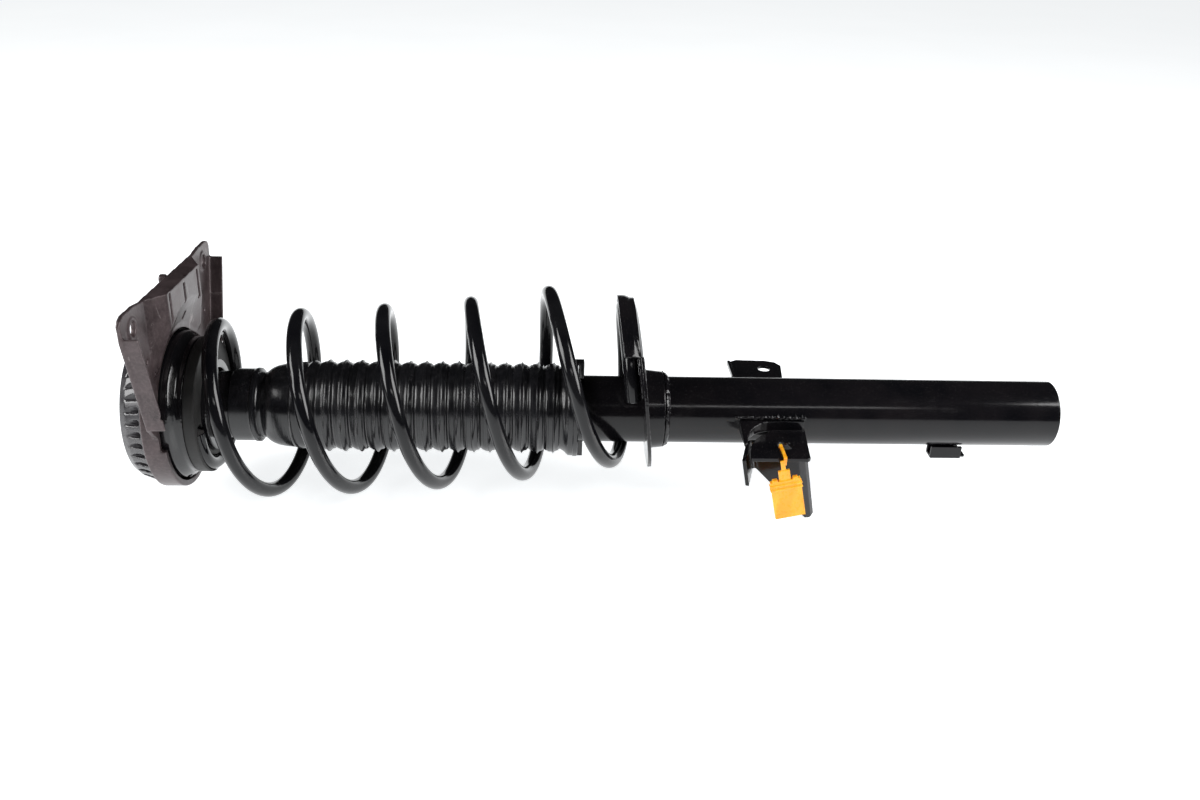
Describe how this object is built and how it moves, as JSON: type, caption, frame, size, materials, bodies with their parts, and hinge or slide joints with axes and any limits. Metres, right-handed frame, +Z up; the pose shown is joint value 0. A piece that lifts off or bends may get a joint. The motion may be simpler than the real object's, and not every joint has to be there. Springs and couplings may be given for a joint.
{
  "type": "suspension strut assembly",
  "caption": "Front suspension strut with coil spring, bellows dust boot, ribbed top mount, stabiliser-link and hose brackets and a plastic seal tag; the strut compresses and the mount turns.",
  "frame": {"origin": "centre of the reserve tube's lower end face", "axes": "+X along the strut axis out of the lower end, +Z up as it lies, +Y away from the side that carries the stabiliser link bracket; the top mount is towards -X"},
  "size_m": [0.76, 0.2148, 0.1948],
  "materials": {
    "black_paint": "gloss black paint with light road dust",
    "spring_coat": "gloss black powder coat",
    "mount_coat": "worn grey-brown phosphate coat",
    "bare_steel": "turned and pressed steel",
    "ball_steel": "polished",
    "rod_chrome": "hard chrome",
    "bush_bronze": "sintered bronze",
    "boot_rubber": "satin black rubber",
    "seal_rubber": "matte black rubber",
    "bump_foam": "microcellular polyurethane",
    "black_plastic": "black moulded plastic",
    "band_plastic": "filled slide material",
    "tag_plastic": "translucent orange-yellow plastic"
  },
  "bodies": {
    "strut_tube": {"reserve_tube": "black_paint", "base_cap": "black_paint", "lower_spring_seat": "black_paint", "seat_weld": "black_paint", "link_plate": "black_paint", "link_web": "black_paint", "link_skirt": "black_paint", "link_weld": "black_paint", "hose_bracket": "black_paint", "hose_weld": "black_paint", "locating_tab": "black_paint", "strike_cap": "bare_steel", "pressure_tube": "bare_steel", "base_valve": "bare_steel", "rod_guide": "bare_steel", "guide_bush": "bush_bronze", "rod_seal": "seal_rubber", "coil_spring": "spring_coat", "dust_boot": "boot_rubber", "boot_clip": "black_plastic", "tag_strap": "tag_plastic"},
    "spring_seat": {"upper_spring_seat": "black_plastic", "spring_pad": "seal_rubber", "bearing_lower_race": "bare_steel"},
    "mount": {"bearing_upper_race": "bare_steel", "bearing_cage": "black_plastic", "bearing_balls": "ball_steel", "mount_plate": "mount_coat", "mount_dome": "mount_coat", "mount_rubber": "seal_rubber", "inner_sleeve": "bare_steel", "piston_rod": "rod_chrome", "piston": "bare_steel", "piston_band": "band_plastic", "piston_nut": "bare_steel", "top_washer": "bare_steel", "top_nut": "bare_steel", "rebound_stop": "band_plastic", "bump_stop": "bump_foam", "bump_cup": "black_plastic", "locating_pin": "mount_coat"},
    "seal_tag": {"tag_body": "tag_plastic"}
  },
  "joints": [
    {"name": "strut_travel", "type": "slide", "parent": "strut_tube", "child": "spring_seat", "axis": [1, 0, 0], "range_m": [0, 0.185], "stiffness_N_per_m": 12000, "springref_m": -0.1, "deforming": ["coil_spring", "dust_boot"]},
    {"name": "steer_bearing", "type": "hinge", "parent": "spring_seat", "child": "mount", "pos_m": [-0.727, 0, 0], "axis": [1, 0, 0], "range_deg": [-40, 40]},
    {"name": "tag_swing", "type": "hinge", "parent": "strut_tube", "child": "seal_tag", "pos_m": [-0.2405, -0.0795, -0.0045], "axis": [-1, 0, 0], "range_deg": [-10, 95]}
  ]
}
